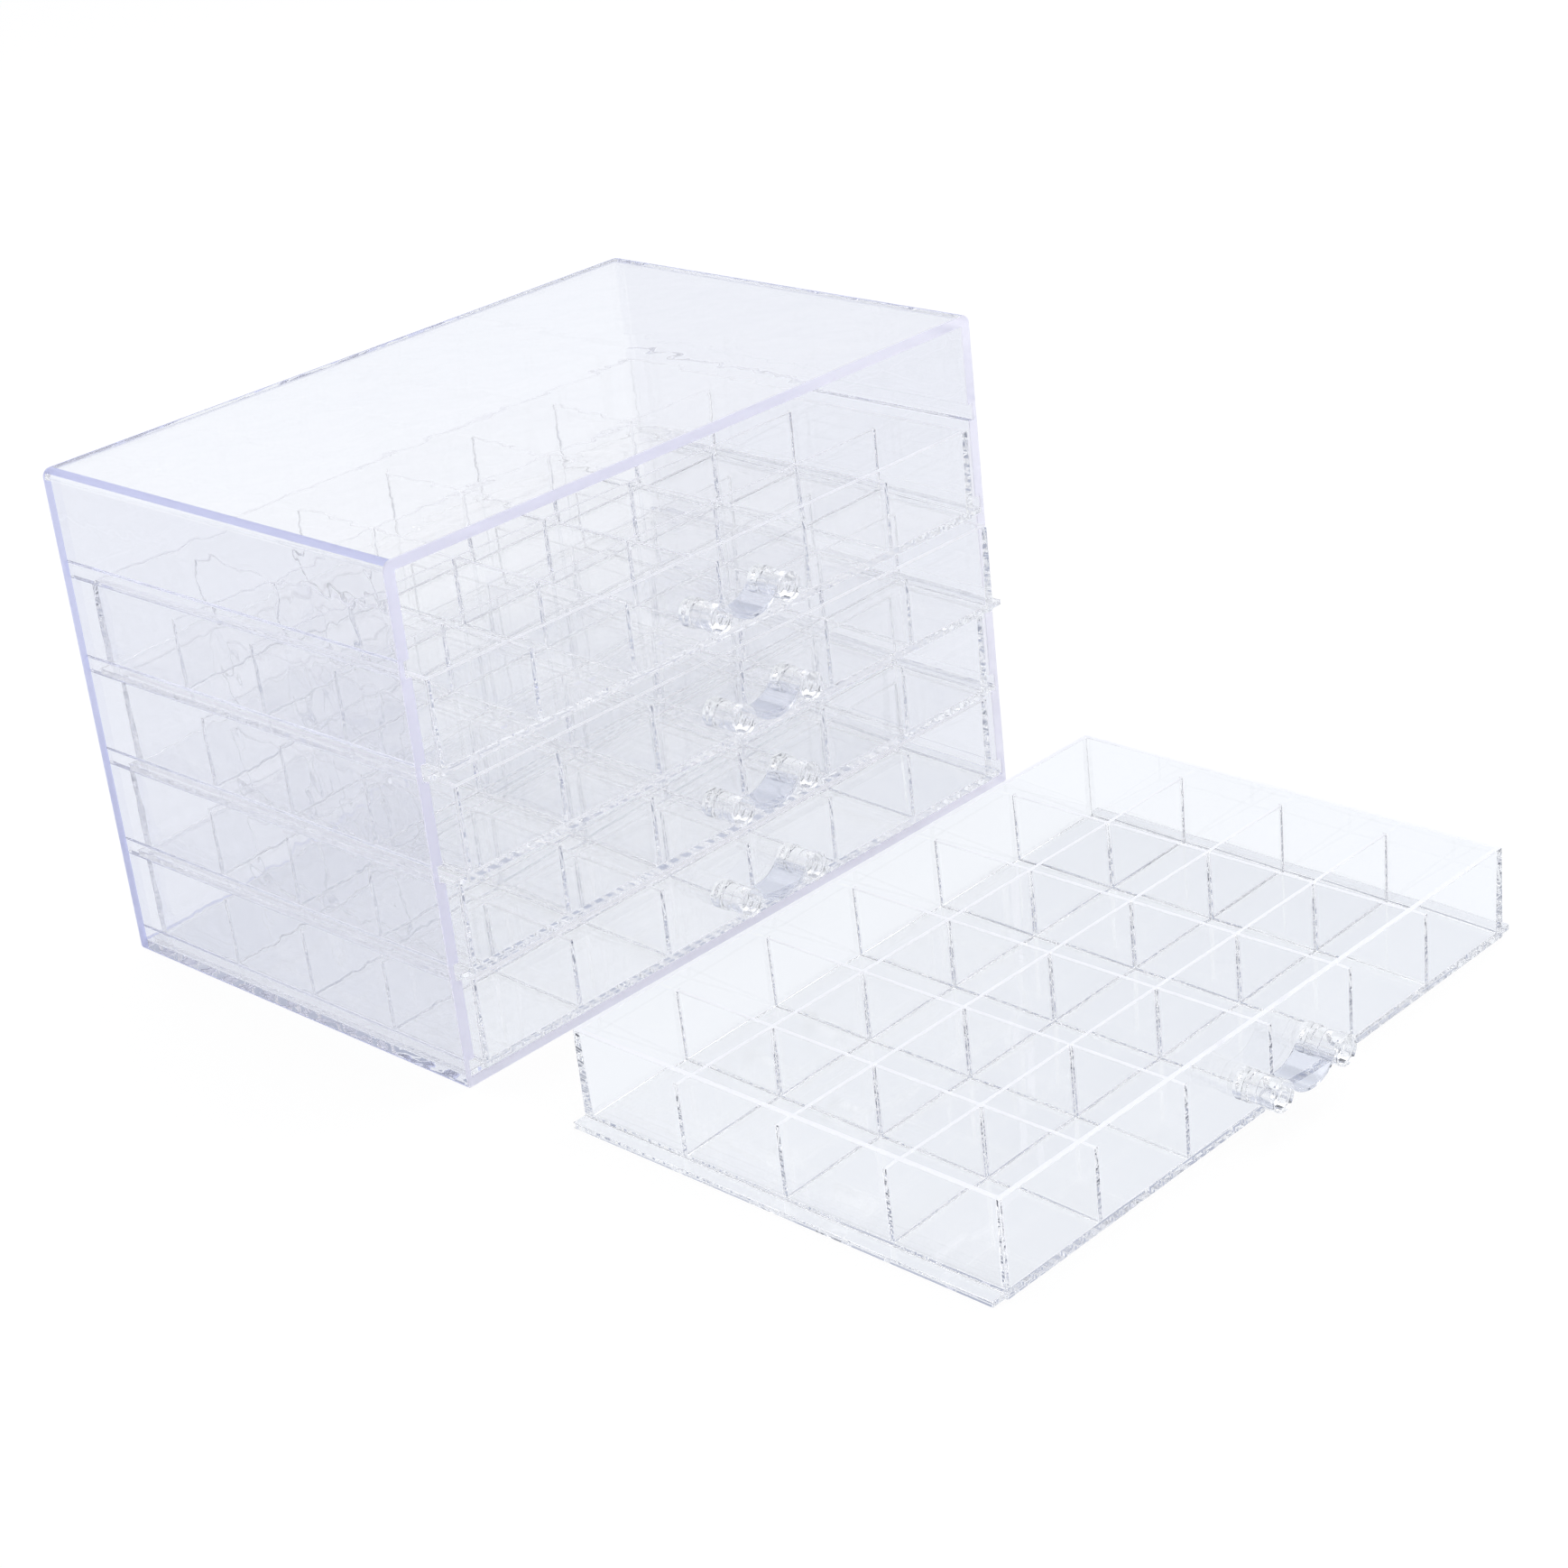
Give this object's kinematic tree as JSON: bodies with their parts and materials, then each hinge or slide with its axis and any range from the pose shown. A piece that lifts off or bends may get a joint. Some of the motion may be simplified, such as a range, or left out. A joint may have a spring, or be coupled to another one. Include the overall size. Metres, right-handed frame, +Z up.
{
  "type": "nail polish organizer drawers",
  "caption": "Clear plastic organizer box with an open-fronted case and sliding compartment trays, each with a small hanging-ribbon handle.",
  "frame": {"origin": "centre of the case's underside, on the table", "axes": "+X along the width to the right, +Y from the open front to the back, +Z up"},
  "size_m": [0.235, 0.361, 0.158],
  "materials": {
    "clear_case": "polished clear polystyrene moulding with a faint violet cast at its edges",
    "clear_tray": "polished clear polystyrene moulding",
    "clear_handle": "polished clear polystyrene moulding"
  },
  "bodies": {
    "case": {"case_shell": "clear_case"},
    "drawer_1": {"drawer_1_tray": "clear_tray", "drawer_1_handle": "clear_handle"},
    "drawer_2": {"drawer_2_tray": "clear_tray", "drawer_2_handle": "clear_handle"},
    "drawer_3": {"drawer_3_tray": "clear_tray", "drawer_3_handle": "clear_handle"},
    "drawer_4": {"drawer_4_tray": "clear_tray", "drawer_4_handle": "clear_handle"},
    "drawer_5": {"drawer_5_tray": "clear_tray", "drawer_5_handle": "clear_handle"}
  },
  "joints": [
    {"name": "drawer_2_slide", "type": "slide", "parent": "case", "child": "drawer_2", "axis": [0, -1, 0], "range_m": [-0.0018, 0.1282]},
    {"name": "drawer_3_slide", "type": "slide", "parent": "case", "child": "drawer_3", "axis": [0, -1, 0], "range_m": [-0.0066, 0.1234]},
    {"name": "drawer_4_slide", "type": "slide", "parent": "case", "child": "drawer_4", "axis": [0, -1, 0], "range_m": [-0.0016, 0.1284]},
    {"name": "drawer_5_slide", "type": "slide", "parent": "case", "child": "drawer_5", "axis": [0, -1, 0], "range_m": [-0.0005, 0.1295]},
    {"name": "drawer_1_lift", "type": "slide", "parent": "drawer_5", "child": "drawer_1", "axis": [0, 0, 1], "range_m": [0, 0.1245]}
  ]
}
